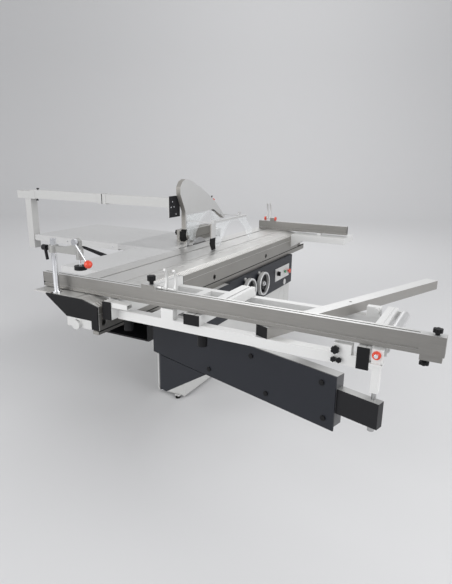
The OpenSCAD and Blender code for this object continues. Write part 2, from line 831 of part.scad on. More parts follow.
// Lever that turns on a boss behind a handwheel and locks its shaft
module lock_lever() {
    color(light) rotate([20, 0, 0]) difference() {
        union() {
            bar_x(62, 9);
            translate([0, -8, 0]) cube([9, 16, 104]);
            translate([0, 0, 106]) bar_x(30, 11);
        }
        translate([-eps, 0, 0]) bar_x(boss_d + 2 * run, 12);
    }
}

module rise_lock_lever() {
    translate([cabinet_x1 + panel_t + eps, rise_y, wheel_z]) lock_lever();
}

module tilt_lock_lever() {
    translate([cabinet_x1 + panel_t + eps, tilt_y, wheel_z]) lock_lever();
}

module start_button() {
    color([0.1, 0.5, 0.2]) translate([face_x + 6, start_y, start_z]) bar_x(button_d, 6);
    color([0.1, 0.5, 0.2]) translate([face_x - 16, start_y, start_z]) bar_x(16, 22);
}

module stop_button() {
    color(red) translate([face_x + 12, stop_y, stop_z]) bar_x(stop_d, 14);
    color(red) translate([face_x - 16, stop_y, stop_z]) bar_x(16, 28);
}

module mains_switch() {
    color(black) translate([face_x + 1, switch_y, switch_z]) {
        bar_x(44, 10);
        translate([10, -7, -20]) cube([16, 14, 40]);
    }
    color(black) translate([face_x - 16, switch_y, switch_z]) bar_x(16.5, 18);
}

// Closed outline of the sliding table's section in X and Z
module slide_outline() {
    polygon([[0, table_h], [0, table_h - slide_wall], [100, table_h - 12], [beam_x0, beam_top],
        [beam_x0 + 180, beam_top], [beam_x0 + 180, beam_top - 2], [ledge_x, beam_top - 2],
        [ledge_x, slide_bottom], [slide_w, slide_bottom], [slide_w, table_h - 31],
        [rib_x1, table_h - 14], [366, table_h - 2], [366, table_h]]);
}

module sliding_table() {
    color(anodised) difference() {
        translate([0, slide_y0, 0]) xz_plate(slide_l) difference() {
            slide_outline();
            polygon([[135, table_h - 26], [260, table_h - 108], [260, table_h - 14], [160, table_h - 14],
                [160, table_h - 26]]);
            polygon([[272, table_h - 108], [430, table_h - 108], [430, table_h - 24],
                [272, table_h - 14]]);
            polygon([[442, slide_bottom + 8], [472, slide_bottom + 8], [472, table_h - 42],
                [442, table_h - 28]]);
            translate([139 - groove_w / 2, table_h - 12]) square([groove_w, 12 + eps]);
            translate([139 - groove_w / 2 - 5, table_h - 14]) square([groove_w + 10, 7]);
            translate([317, table_h - 3]) square([20, 4]);
            for (x = [378:12:438]) translate([x, table_h - 5 - 0.15 * (x - 366)]) square([4, 10]);
            translate([slide_w - 3, table_h - 74]) square([4, 4]);
        }
        for (y = [-1728, -525, 418])
            translate([slide_w - 10, y, table_h - 127]) bar_x(40, 12);
    }
}

module caps_and_knobs() {
    color(black) {
        for (y = [slide_y0 - 8, slide_y1])
            translate([0, y, 0]) xz_plate(8) polygon([[100, table_h - 12], [beam_x0, beam_top],
                [ledge_x, beam_top], [ledge_x, slide_bottom], [slide_w - 6, slide_bottom],
                [slide_w - 4, table_h - 33], [366, table_h - 4], [100, table_h - 4]]);
        box([left_x, -1748, table_h - 100], [left_x + rail_w, -1740, table_h - 2]);
        box([mid_x, -1708, tube_top], [mid_x + mid_w, -1700, table_h - 2]);
        box([right_x, -1708, table_h - 100], [right_x + right_w, -1700, table_h - 4]);
        box([left_x, -1740 + rail_l, table_h - 100], [left_x + rail_w, -1734 + rail_l, table_h - 2]);
        for (x = [595, 1060]) translate([x, front_y + tube_w / 2, tube_top - tube_w - 62])
            cylinder(d = 50, h = 62);
        for (x = [right_x - 97, right_x - 73]) translate([x, front_y, tube_top - 26])
            rotate([90, 0, 0]) grip_knob(24, 20);
        translate([right_x - 91, front_y, tube_top + 19]) rotate([90, 0, 0]) grip_knob(36, 24);
    }
}

module clamp_column() {
    color(chrome) translate([clamp_x, clamp_y, table_h]) {
        cylinder(d = column_d, h = 303);
        cylinder(d = column_d + 20, h = 8);
    }
}

module outrigger_tubes() {
    z0 = tube_top - tube_w;
    color(light) {
        for (y = [front_y, back_y]) translate([left_x + rail_w, y, z0])
            tube_x(right_x - left_x - rail_w, tube_w, tube_w, tube_wall);
        translate([735, front_y + tube_w, z0])
            tube_y(tube_w, tube_w, back_y - front_y - tube_w, tube_wall);
        box([right_x - 96, back_y - 12, tube_top], [right_x - 25, back_y + 30, tube_top + 55]);
        box([right_x - 104, front_y, tube_top], [right_x - 26, front_y + 40, tube_top + 45]);
        box([828, front_y, tube_top], [901, front_y + 40, tube_top + 55]);
    }
    color(chrome) {
        translate([right_x - 43, back_y - 26, tube_top + 39]) bar_y(26, 14);
        translate([support_x, support_y, tube_top - tube_wall]) cylinder(d = 16, h = bar_h);
    }
}

module outrigger_rails() {
    z0 = table_h - 100;
    color(light) {
        difference() {
            union() {
                translate([left_x, -1740, z0]) tube_y(rail_w, table_h - 2 - z0, rail_l, tube_wall);
                translate([right_x, -1700, z0]) tube_y(right_w, table_h - 4 - z0, rail_l - 40, tube_wall);
                translate([mid_x, -1700, tube_top]) tube_y(mid_w, 53, rail_l - 50, tube_wall);
            }
            for (x = [left_x + rail_w * 0.6, right_x + right_w * 0.6, mid_x + mid_w * 0.6])
                box([x, -1740 - eps, table_h - 6.5], [x + 7, -1740 + rail_l + eps, table_h + eps]);
        }
        box([slide_w, -1640, table_h - 96], [left_x, -1560, table_h - 40]);
        box([slide_w, -1240, table_h - 96], [left_x, -1160, table_h - 40]);
        translate([left_x + rail_w, -1740, table_h - 30]) tube_x(105, 45, 55 - 30 + 3, tube_wall);
        for (y = [-1612, -1612 + roller_l + 16]) difference() {
            box([right_x + right_w, y, table_h - 62], [roller_x + 14, y + 8, table_h - 14]);
            translate([roller_x, y - eps, table_h - 6 - roller_d / 2]) bar_y(12 + 2 * run, 12);
        }
    }
}

module outrigger_strut() {
    w = strut_w / 2;
    color(light) {
        box([strut_x - w, strut_y - w, strut_z], [strut_x + w, strut_y + w, table_h - 64]);
        box([right_x + right_w, strut_y - w, table_h - 90], [strut_x - w, strut_y + w, table_h - 64]);
        box([strut_x - 24, strut_y - 24, table_h - 76], [strut_x + 24, strut_y + 24, table_h - 64]);
        box([strut_x - 22, strut_y - 14, table_h - 64], [strut_x + 22, strut_y + 15, table_h - 2]);
    }
    color(red) translate([strut_x - 2, strut_y - 24, table_h - 26]) bar_y(36, 10);
    color(chrome) translate([strut_x - 2, strut_y - 32, table_h - 26]) bar_y(18, 8);
}

// Fence extrusion along X with a hollow, a face groove and a top groove
module fence_bar(l) {
    difference() {
        cube([l, fence_t, fence_h]);
        translate([-eps, 10, 12]) cube([l + 2 * eps, fence_t - 20, fence_h - 26]);
        translate([-eps, -eps, 18]) cube([l + 2 * eps, 6 + eps, 10]);
        translate([-eps, 18, fence_h - 8]) cube([l + 2 * eps, 9, 9]);
    }
}

module short_fence() {
    color(anodised) translate([short_x0, short_y, fence_z]) fence_bar(short_fence_l);
    flip_block(far_stop_x + 54, short_y, 46, 34);
    color(light) translate([139, short_y + fence_t / 2 - 20, table_h]) difference() {
        translate([-20, 0, 0]) cube([460, 40, gap]);
        translate([100, 10, -eps]) cube([200, 20, 6]);
    }
}

module side_frame() {
    y0 = 1027;
    z1 = table_h - 12;
    color(light) {
        difference() {
            translate([slide_w, y0, 0]) xz_plate(208) polygon([[0, z1 - 126], [0, z1], [540, z1],
                [540, z1 - 55], [120, z1 - 55]]);
            box([slide_w + 6, y0 + 6, z1 - 140], [slide_w + 534, y0 + 202, z1 - 4]);
        }
        box([slide_w + 480, y0 + 208, z1 - 55], [slide_w + 540, y0 + 334, z1]);
        box([700, short_y - 10, z1], [740, short_y + fence_t, fence_z]);
    }
}

module clamp_arm() {
    z0 = table_h + 229;
    color(iron) difference() {
        union() {
            translate([clamp_x, clamp_y - 11, 0]) xz_plate(22) polygon([[0, z0], [0, z0 + 35],
                [80, z0 + 35], [147, z0 + 51], [162, z0 + 77], [181, z0 + 91], [202, z0 + 77],
                [202, z0 + 11], [170, z0]]);
            translate([clamp_x, clamp_y, z0 - 2]) cylinder(d = column_d + 22, h = 40);
            translate([spindle_x, clamp_y, table_h + 206]) cylinder(d = 40, h = 62);
        }
        translate([clamp_x, clamp_y, z0 - 3]) cylinder(d = column_d + 2 * run, h = 42);
        translate([spindle_x, clamp_y, table_h + 200]) cylinder(d = spindle_d + 2 * run, h = 62);
        translate([eye_x, clamp_y - 12, eye_z]) bar_y(10 + 2 * run, 24);
        translate([clamp_x - 50, clamp_y, z0 + 18]) bar_x(14 + 2 * run, 33);
    }
}

module clamp_lever() {
    color(black) translate([0, clamp_y, table_h + 247]) {
        translate([clamp_x - 80, 0, 0]) bar_x(32, 30);
        translate([clamp_x - 51, 0, 0]) bar_x(14, 30);
        translate([clamp_x - 65, 0, 0]) rotate([-172, 0, 0]) cylinder(d = 17, h = 70);
    }
}

module clamp_pad() {
    color(chrome) translate([spindle_x, clamp_y, table_h + 160]) cylinder(d = spindle_d, h = 72);
    color(black) translate([spindle_x, clamp_y, table_h + 150]) cylinder(d = 67, h = 22);
}

// Ball lever that turns in the arm's eye and works the spindle
module clamp_ball_lever() {
    reach = 140;
    lean = 141;
    color(chrome) translate([eye_x, clamp_y, eye_z]) {
        translate([0, -30, 0]) bar_y(10, 44);
        translate([0, -30, 0]) bar_y(34, 18.5);
        translate([0, -22, 0]) rotate([0, lean, 0]) cylinder(d = 9, h = reach - 12);
    }
    color(red) translate([eye_x, clamp_y - 22, eye_z]) rotate([0, lean, 0])
        translate([0, 0, reach]) sphere(d = 44);
}

module crosscut_fence() {
    color(anodised) translate([fence_x0, fence_y0, fence_z]) fence_bar(fence_l);
    color(light) {
        box([mitre_x - 60, fence_y0 + fence_t, table_h + clear], [mitre_x + 60,
            fence_y0 + fence_t + 40, fence_z + 10]);
        translate([mitre_x, fence_y0 + fence_t + 22, fence_z + 10]) cylinder(d = 30, h = 14);
        flip_block(near_stop_x, fence_y0, 86, 20);
    }
    color(black) translate([fence_x0 - 4, fence_y0 + 1, fence_z + 1])
        cube([4, fence_t - 2, fence_h - 2]);
}

module fence_knobs() {
    color(black) {
        translate([mitre_x, fence_y0 + fence_t + 22, fence_z + 24]) grip_knob(44, 36);
        translate([760, fence_y0 + fence_t, fence_z + 40]) rotate([-90, 0, 0]) grip_knob(36, 30);
        translate([1500, fence_y0 + fence_t, fence_z + 40]) rotate([-90, 0, 0]) grip_knob(36, 30);
        translate([near_stop_x + 51, fence_y0 + fence_t / 2, fence_z + fence_h + 20]) grip_knob(44, 46);
    }
}

// Flip stop's block of length l and height h, clamped on the top of a fence
module flip_block(x, y, l, h) {
    color(light) translate([x, y, fence_z + fence_h]) difference() {
        cube([l, fence_t, h]);
        translate([-eps, fence_t / 2, h - 10]) bar_x(10, l + 2 * eps);
    }
}

// Curved claw of height h that turns on a stop's pin, w wide along X
module claw(w, h) {
    yz_plate(w) polygon([[-6, -7], [6, -7], [9, 0], [9, h / 2], [2, h * 0.85], [-14, h],
        [-20, h - 10], [-8, h * 0.75], [-1, h / 2], [-9, 9], [-9, 0]]);
}

// Two claws on the near block's pin, turned up at rest
module near_flip_stop() {
    color(light) translate([near_stop_x, fence_y0 + fence_t / 2, fence_z + fence_h + 10]) {
        bar_x(10 - 2 * run, 205);
        translate([86 + clear, 0, 0]) bar_x(18, 30);
        for (x = [138, 193]) translate([x, 0, 0]) claw(12, 106);
    }
}

// Claw with red knobs on the far block's pin, turned up at rest
module far_flip_stop() {
    color(light) translate([far_stop_x, short_y + fence_t / 2, fence_z + fence_h + 24]) {
        translate([-8, 0, 0]) bar_x(10 - 2 * run, 116);
        for (x = [8, 41]) translate([x, 0, 0]) claw(12, 162);
    }
    color(red) translate([far_stop_x, short_y + fence_t / 2, fence_z + fence_h + 24]) {
        translate([-14, 0, 0]) bar_x(40, 14);
        translate([100 + clear, 0, 0]) bar_x(40, 12);
    }
}

module fence_extension() {
    y = fence_y0 + 10 + clear;
    z = fence_z + 12 + clear;
    x1 = fence_x0 + fence_l;
    color(light) {
        box([x1 - 700, y, z], [x1, fence_y0 + fence_t - 10 - clear, fence_z + fence_h - 14 - clear]);
        box([x1, fence_y0, fence_z], [x1 + 98, fence_y0 + fence_t, fence_z + fence_h]);
        box([x1 + 6, fence_y0 + 8, fence_z - 26], [x1 + 91, fence_y0 + fence_t - 8, fence_z]);
    }
    color(black) {
        translate([x1 + 62, fence_y0 + fence_t / 2, fence_z + fence_h]) grip_knob(39, 26);
        translate([x1 + 26, fence_y0 + fence_t / 2, fence_z - 26]) rotate([180, 0, 0]) grip_knob(40, 22);
    }
}

module support_bar() {
    near = 640;
    far = 832;
    translate([support_x, support_y, tube_top]) rotate(-bar_turn) {
        color(light) difference() {
            translate([-bar_w / 2, -near, 0]) tube_y(bar_w, bar_h, near + far, tube_wall);
            cylinder(d = 16 + 2 * run, h = 2 * bar_h, center = true);
        }
        color(black) translate([-bar_w / 2, -near - 8, 0]) cube([bar_w, 8, bar_h]);
    }
}

module support_roller() {
    color(chrome) translate([roller_x, -1600, table_h - 6 - roller_d / 2]) {
        bar_y(roller_d, roller_l);
        translate([0, -14, 0]) bar_y(12, roller_l + 28);
    }
}

module swing_arm_cover() {
    z0 = cover_z1 - cover_h;
    color(dark) arm_frame() {
        difference() {
            translate([-35, cover_y + 20, 0]) xz_plate(cover_t) polygon([[0, z0], [cover_l, z0],
                [cover_l, cover_z1], [130, cover_z1], [130, cover_z1 - arm_drop],
                [0, cover_z1 - arm_drop]]);
            box([-40, -26, z0 - 1], [26, 27, cover_z1]);
        }
        translate([-35, cover_y + 20, 0]) xz_plate(cover_t) difference() {
            polygon([[40, 233], [120, 235], [470, z0 - 4], [40, z0 - 4]]);
            polygon([[0, 220], [62, 220], [62, z0 + 33], [0, z0 + 33]]);
        }
    }
    color(black) arm_frame() for (p = [[467, 43], [772, 213], [876, 45], [1193, 215], [1212, 47]])
        translate([p[0], cover_y + 14, z0 + p[1]]) bar_y(26, 6);
}

module swing_arm_box() {
    z0 = cover_z1 - cover_h;
    y0 = cover_y + 20 + cover_t;
    color(light) arm_frame() {
        difference() {
            translate([0, 0, ear_z + ear_t + clear]) cylinder(d = 46,
                h = top_ear_z - ear_z - ear_t - 2 * clear);
            cylinder(d = pivot_d + 2 * run, h = 1000);
        }
        difference() {
            box([26, y0, z0 + 20], [cover_l - 35, y0 + 56, cover_z1 - arm_drop]);
            box([100, y0 + 4, tele_z0 - clear],
                [cover_l, y0 + 4 + tele_w + 2 * clear, tele_z0 + tele_h + clear]);
        }
        box([100, y0, cover_z1 - arm_drop], [cover_l - 35, y0 + 56, cover_z1]);
        box([18, y0, 240], [27, y0 + 50, z0 + 100]);
        box([22, y0, 240], [90, y0 + 12, z0 + 20]);
    }
}

module telescopic_tube() {
    y0 = cover_y + 24 + cover_t + clear;
    color(black) arm_frame() difference() {
        box([330, y0, tele_z0], [arm_len + 40, y0 + tele_w, tele_z0 + tele_h]);
        translate([arm_len, 0, tele_z0 - eps]) cylinder(d = 20, h = tele_h + 2);
    }
}

module strut_pin() {
    color(chrome) translate([strut_x, strut_y, 0]) {
        translate([0, 0, tele_z0 - 28]) cylinder(d = 20, h = strut_z - 0.5 - tele_z0 + 28);
        translate([0, 0, tele_z0 - 28]) cylinder(d = 30, h = 28);
    }
}

base_cabinet();
base_leg();
floor_feet();
fixed_beam();
beam_bumper();
arm_bracket();
arm_pivot_pin();
main_table();
table_insert();
side_table();
side_braces();
outfeed_table();
guard_post();
rip_rail();
control_panel();
dust_port();
rip_fence();
guard_arm();
guard_hood();
guard_screens();
shroud_frame();
guard_brushes();
tilt_frame();
arbor_carrier();
main_motor();
drive_belt();
riving_knife();
saw_blade();
motor_pulley();
scoring_blade();
rise_handwheel();
tilt_handwheel();
rise_lock_lever();
tilt_lock_lever();
start_button();
stop_button();
mains_switch();
sliding_table();
caps_and_knobs();
clamp_column();
outrigger_tubes();
outrigger_rails();
outrigger_strut();
short_fence();
side_frame();
clamp_arm();
clamp_lever();
clamp_pad();
clamp_ball_lever();
crosscut_fence();
fence_knobs();
near_flip_stop();
far_flip_stop();
fence_extension();
support_bar();
support_roller();
swing_arm_cover();
swing_arm_box();
telescopic_tube();
strut_pin();
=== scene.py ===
import json
import math
import bmesh
import bpy
from mathutils import Matrix, Vector

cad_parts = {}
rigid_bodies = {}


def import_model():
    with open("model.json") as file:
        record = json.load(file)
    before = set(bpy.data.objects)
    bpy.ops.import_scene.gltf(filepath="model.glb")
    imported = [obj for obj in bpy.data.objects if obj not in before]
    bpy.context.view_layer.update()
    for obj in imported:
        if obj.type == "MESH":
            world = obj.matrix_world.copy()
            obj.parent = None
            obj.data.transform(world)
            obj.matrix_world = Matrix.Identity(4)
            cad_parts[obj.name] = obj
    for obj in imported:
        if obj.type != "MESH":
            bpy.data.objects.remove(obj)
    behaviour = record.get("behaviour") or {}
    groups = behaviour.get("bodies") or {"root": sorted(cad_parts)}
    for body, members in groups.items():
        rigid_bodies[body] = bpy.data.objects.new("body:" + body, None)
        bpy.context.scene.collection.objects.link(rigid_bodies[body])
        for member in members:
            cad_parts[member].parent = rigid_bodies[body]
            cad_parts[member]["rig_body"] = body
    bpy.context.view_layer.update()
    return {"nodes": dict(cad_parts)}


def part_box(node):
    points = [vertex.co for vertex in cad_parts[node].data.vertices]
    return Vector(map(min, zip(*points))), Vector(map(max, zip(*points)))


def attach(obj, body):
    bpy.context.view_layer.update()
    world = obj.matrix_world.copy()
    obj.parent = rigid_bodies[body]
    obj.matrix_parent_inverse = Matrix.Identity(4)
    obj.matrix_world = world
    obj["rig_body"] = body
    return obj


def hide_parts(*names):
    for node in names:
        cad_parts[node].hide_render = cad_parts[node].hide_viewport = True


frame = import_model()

# Studio
# A pale floor that curves up behind the saw, four soft lamps and an even sky.
# The camera stands off the outfeed end, on the outrigger's side, at eye height.
scene = bpy.context.scene
scene.view_settings.view_transform = "Standard"
camera = bpy.data.objects.new("camera", bpy.data.cameras.new("camera"))
scene.collection.objects.link(camera)
camera.location = (2.250, -3.640, 1.650)
camera.rotation_euler = [math.radians(a) for a in (74.521, -0.674, 28.413)]
camera.data.lens = 30.42
camera.data.sensor_width = 36.0
scene.camera = camera

sky = bpy.data.worlds.new("studio")
scene.world = sky
sky.use_nodes = True
sky_light = sky.node_tree.nodes["Background"]
sky_light.inputs["Color"].default_value = (0.80, 0.805, 0.82, 1)
sky_light.inputs["Strength"].default_value = 0.82


def studio_floor():
    """A sheet of pale paper that faces the camera: flat, bent up in an arc, then upright."""
    width, near, far, height, bend = 30.0, -14.0, 9.0, 14.0, 5.0
    arc_steps = 12
    line = [(near, 0.0)]
    for i in range(arc_steps + 1):
        turn = math.radians(90 / arc_steps * i)
        line.append((far + bend * math.sin(turn), bend - bend * math.cos(turn)))
    line.append((far + bend, height))
    bm = bmesh.new()
    to_camera = Matrix.Rotation(math.radians(28), 3, "Z")
    rows = []
    for y, z in line:
        rows.append([bm.verts.new(to_camera @ Vector((x, y, z))) for x in (-width, width)])
    for a, b in zip(rows, rows[1:]):
        bm.faces.new((a[0], a[1], b[1], b[0])).smooth = True
    mesh = bpy.data.meshes.new("studio_floor")
    bm.to_mesh(mesh)
    bm.free()
    floor = bpy.data.objects.new("studio_floor", mesh)
    scene.collection.objects.link(floor)
    paint = bpy.data.materials.new("studio_paper")
    paint.use_nodes = True
    shader = paint.node_tree.nodes["Principled BSDF"]
    shader.inputs["Base Color"].default_value = (0.66, 0.66, 0.665, 1)
    shader.inputs["Roughness"].default_value = 0.75
    mesh.materials.append(paint)


studio_floor()
for name, place, aim, size, power in (
    ("key", (5.8, -1.2, 2.9), (0.5, -0.4, 0.7), 4.0, 150),
    ("fill", (-1.5, -6.2, 2.6), (0.6, -0.6, 0.7), 4.0, 150),
    ("back", (-1.0, 5.0, 5.0), (0.0, 0.0, 0.9), 3.5, 90),
    ("wall", (-1.0, 7.0, 7.5), (-5.5, 13.0, 3.0), 6.0, 170),
):
    lamp = bpy.data.lights.new(name, "AREA")
    lamp.size = size
    lamp.energy = power
    stand = bpy.data.objects.new(name, lamp)
    stand.location = place
    stand.rotation_euler = (Vector(aim) - Vector(place)).to_track_quat("-Z", "Y").to_euler()
    scene.collection.objects.link(stand)

# Base cabinet and leg
# Folded and welded sheet steel under a light grey powder coat, which has a fine orange peel.
# The cabinet carries the tables, the leg carries the outfeed end of the beam.


def surface(name, colour, roughness, metallic=0.0, scale=(1, 1, 1), spread=0.06, bump=0.05,
            speck=60.0, coat=0.0, shine=0.5):
    """A finish whose shade, gloss and height vary with a noise that is stretched by scale."""
    gloss_swing, relief_height, broad_share = 0.07, 0.0006, 0.4
    skin = bpy.data.materials.new(name)
    skin.use_nodes = True
    nodes, links = skin.node_tree.nodes, skin.node_tree.links
    shader = nodes["Principled BSDF"]
    shader.inputs["Metallic"].default_value = metallic
    shader.inputs["Coat Weight"].default_value = coat
    shader.inputs["Specular IOR Level"].default_value = shine
    place = nodes.new("ShaderNodeTexCoord")
    stretch = nodes.new("ShaderNodeMapping")
    stretch.inputs["Scale"].default_value = scale
    links.new(place.outputs["Object"], stretch.inputs["Vector"])
    fine = nodes.new("ShaderNodeTexNoise")
    fine.inputs["Scale"].default_value = speck
    fine.inputs["Detail"].default_value = 6
    links.new(stretch.outputs["Vector"], fine.inputs["Vector"])
    broad = nodes.new("ShaderNodeTexNoise")
    broad.inputs["Scale"].default_value = 3.5
    broad.inputs["Detail"].default_value = 3
    links.new(place.outputs["Object"], broad.inputs["Vector"])
    both = nodes.new("ShaderNodeMix")
    both.inputs["Factor"].default_value = broad_share
    links.new(fine.outputs["Fac"], both.inputs["A"])
    links.new(broad.outputs["Fac"], both.inputs["B"])
    shade = nodes.new("ShaderNodeValToRGB")
    low, high = shade.color_ramp.elements
    low.position, high.position = 0.3, 0.7
    low.color = [c * (1 - spread) for c in colour] + [1]
    high.color = [min(1, c * (1 + spread)) for c in colour] + [1]
    links.new(both.outputs["Result"], shade.inputs["Fac"])
    links.new(shade.outputs["Color"], shader.inputs["Base Color"])
    gloss = nodes.new("ShaderNodeMapRange")
    gloss.inputs["To Min"].default_value = max(0.03, roughness - gloss_swing)
    gloss.inputs["To Max"].default_value = min(1, roughness + gloss_swing)
    links.new(fine.outputs["Fac"], gloss.inputs["Value"])
    links.new(gloss.outputs["Result"], shader.inputs["Roughness"])
    relief = nodes.new("ShaderNodeBump")
    relief.inputs["Strength"].default_value = bump
    relief.inputs["Distance"].default_value = relief_height
    links.new(fine.outputs["Fac"], relief.inputs["Height"])
    links.new(relief.outputs["Normal"], shader.inputs["Normal"])
    return skin


def shell(name, bm, skins, body, edge=0.0, corner=32, nodes=()):
    """Makes a piece from bm with softened edges, which rides on a body and may stand for nodes."""
    limit = math.radians(corner)
    bmesh.ops.recalc_face_normals(bm, faces=bm.faces)
    for line in bm.edges:
        line.smooth = len(line.link_faces) == 2 and line.calc_face_angle(0) < limit
    for face in bm.faces:
        face.smooth = True
    mesh = bpy.data.meshes.new(name)
    bm.to_mesh(mesh)
    bm.free()
    for skin in skins:
        mesh.materials.append(skin)
    piece = bpy.data.objects.new(name, mesh)
    scene.collection.objects.link(piece)
    if edge:
        soft = piece.modifiers.new("edge", "BEVEL")
        soft.width = edge
        soft.segments = 2
        soft.limit_method = "ANGLE"
        soft.angle_limit = limit
        soft.harden_normals = True
    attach(piece, body)
    if nodes:
        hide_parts(*nodes)
    return piece


def dress(node, skin, edge=0.0012, zones=(), place=Matrix(), top=None):
    """Finishes a CAD node: softened edges, a skin for its upper faces and skins inside zone boxes."""
    cad = frame["nodes"][node]
    bm = bmesh.new()
    bm.from_mesh(cad.data)
    same_point, same_plane = 1e-6, math.radians(0.6)
    bmesh.ops.remove_doubles(bm, verts=bm.verts, dist=same_point)
    bmesh.ops.dissolve_limit(bm, angle_limit=same_plane, verts=bm.verts, edges=bm.edges)
    skins = [skin, top] if top else [skin]
    for face in bm.faces:
        face.material_index = 1 if top and face.normal.z > 0.9 else 0
    for other, low, high in zones:
        if other not in skins:
            skins.append(other)
        for face in bm.faces:
            middle = place @ face.calc_center_median()
            if all(low[i] <= middle[i] <= high[i] for i in range(3)):
                face.material_index = skins.index(other)
    return shell(node + "_finish", bm, skins, cad["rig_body"], edge, nodes=(node,))


def round_bar(bm, a, b, radius, sides):
    """Adds a round bar from a to b to bm."""
    a, b = Vector(a), Vector(b)
    turn = (b - a).to_track_quat("Z", "Y").to_matrix().to_4x4()
    bmesh.ops.create_cone(bm, cap_ends=True, segments=sides, radius1=radius, radius2=radius,
                          depth=(b - a).length, matrix=Matrix.Translation((a + b) / 2) @ turn)


grey_coat = surface("light_grey_powder_coat", (0.57, 0.57, 0.56), 0.42, spread=0.02, bump=0.12, speck=420)
black_rubber = surface("black_foot_rubber", (0.010, 0.010, 0.010), 0.8, spread=0.2, bump=0.2, speck=300,
                       shine=0.2)
dress("base_cabinet", grey_coat, 0.002)
dress("base_leg", grey_coat, 0.002)
dress("dust_port", grey_coat, 0.001)
dress("floor_feet", black_rubber, 0.001)


def arch_cover():
    """A pressed outline of a round-topped hand hole cover on the cabinet's side."""
    side_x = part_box("base_cabinet")[1].x
    y0, y1, sill_z, spring_z = 0.79, 0.93, 0.16, 0.30
    bead_radius, bead_sides, arc_steps = 0.0022, 8, 12
    line = [(y0, sill_z), (y1, sill_z)]
    radius = (y1 - y0) / 2
    for i in range(arc_steps + 1):
        turn = math.pi * i / arc_steps
        line.append(((y0 + y1) / 2 + radius * math.cos(turn), spring_z + radius * math.sin(turn)))
    bm = bmesh.new()
    for (ya, za), (yb, zb) in zip(line, line[1:] + line[:1]):
        round_bar(bm, (side_x, ya, za), (side_x, yb, zb), bead_radius, bead_sides)
    shell("cabinet_arch_line", bm, [grey_coat], "machine_frame")


arch_cover()

# Beam and swing arm bearings
# The beam is an anodised aluminium extrusion with drawing lines along its length.
# The black bracket and its two ears hold the swing arm's polished pivot pin.
along_y = (14, 0.25, 14)
along_x = (0.25, 14, 14)
anodised_y = surface("anodised_beam", (0.34, 0.33, 0.31), 0.36, 0.85, along_y, 0.10, 0.10, 40)
light_alloy = surface("light_alloy", (0.66, 0.66, 0.65), 0.38, 0.55, (6, 6, 6), 0.05, 0.06, 60)
black_coat = surface("black_powder_coat", (0.010, 0.010, 0.012), 0.42, spread=0.15, bump=0.12, speck=420,
                     shine=0.25)
chrome = surface("polished_chrome", (0.80, 0.81, 0.83), 0.10, 1.0, spread=0.03, bump=0.01)
dress("fixed_beam", anodised_y, 0.0015)
dress("beam_bumper", light_alloy, 0.0015)
dress("arm_bracket", black_coat, 0.0015)
dress("arm_pivot_pin", chrome, 0.001)

# Tables
# A ground cast iron table, painted steel extension tables with folded lips, and an
# aluminium insert beside the blade. Black braces hold the side table up.
ground_iron = surface("ground_cast_iron", (0.58, 0.58, 0.575), 0.34, 0.6, (1, 22, 22), 0.10, 0.08, 26)
table_coat = surface("table_enamel", (0.58, 0.58, 0.575), 0.30, spread=0.02, bump=0.05, speck=300, coat=0.2)
dress("main_table", ground_iron, 0.0015)
dress("side_table", table_coat, 0.002, [
    (chrome, (-2, -0.385, 0.86), (0, -0.3702, 0.89)),  # screw heads on the near lip
])
dress("outfeed_table", table_coat, 0.002)
dress("table_insert", light_alloy, 0.0006)
dress("side_braces", black_coat, 0.0012)

# Rip fence and its rail
# The fence is a hollow anodised extrusion on a light casting that rides a chromed rail.
# Black lobed knobs clamp the extrusion.
anodised_x = surface("anodised_fence", (0.26, 0.253, 0.24), 0.40, 0.8, along_x, 0.10, 0.10, 40)
black_plastic = surface("black_knob_plastic", (0.007, 0.007, 0.008), 0.48, spread=0.2, bump=0.10, speck=260,
                        shine=0.2)
rip_low, rip_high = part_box("rip_fence")
dress("rip_rail", chrome, 0.0008, [
    (black_coat, (-2, 0.47, 0.78), (0, 0.539, 0.90)),  # brackets
])
dress("rip_fence", anodised_y, 0.0012, [
    (light_alloy, (rip_low.x, 0.509, rip_low.z), (rip_high.x, 0.601, 0.961)),  # casting
    (black_plastic, (rip_low.x - 0.01, 0.03, 0.93), (rip_low.x + 0.0435, 0.5, 1.0)),  # knobs
    (black_plastic, (-0.22, 0.601, 0.88), (-0.13, 0.70, 0.97)),  # clamping handle
])

# Overhead guard
# A grey square post and arm carry a thin anodised hood. Clear polycarbonate screens and a
# wide side shroud hang from the hood, with black brush strips at their near edges.


def clear_plastic():
    """Thin see-through plastic whose gloss varies with a soft haze."""
    skin = bpy.data.materials.new("clear_polycarbonate")
    skin.use_nodes = True
    nodes, links = skin.node_tree.nodes, skin.node_tree.links
    shader = nodes["Principled BSDF"]
    shader.inputs["Base Color"].default_value = (0.90, 0.93, 0.94, 1)
    shader.inputs["IOR"].default_value = 1.49
    shader.inputs["Alpha"].default_value = 0.22
    place = nodes.new("ShaderNodeTexCoord")
    haze = nodes.new("ShaderNodeTexNoise")
    haze.inputs["Scale"].default_value = 9
    links.new(place.outputs["Object"], haze.inputs["Vector"])
    gloss = nodes.new("ShaderNodeMapRange")
    gloss.inputs["To Min"].default_value = 0.05
    gloss.inputs["To Max"].default_value = 0.16
    links.new(haze.outputs["Fac"], gloss.inputs["Value"])
    links.new(gloss.outputs["Result"], shader.inputs["Roughness"])
    return skin


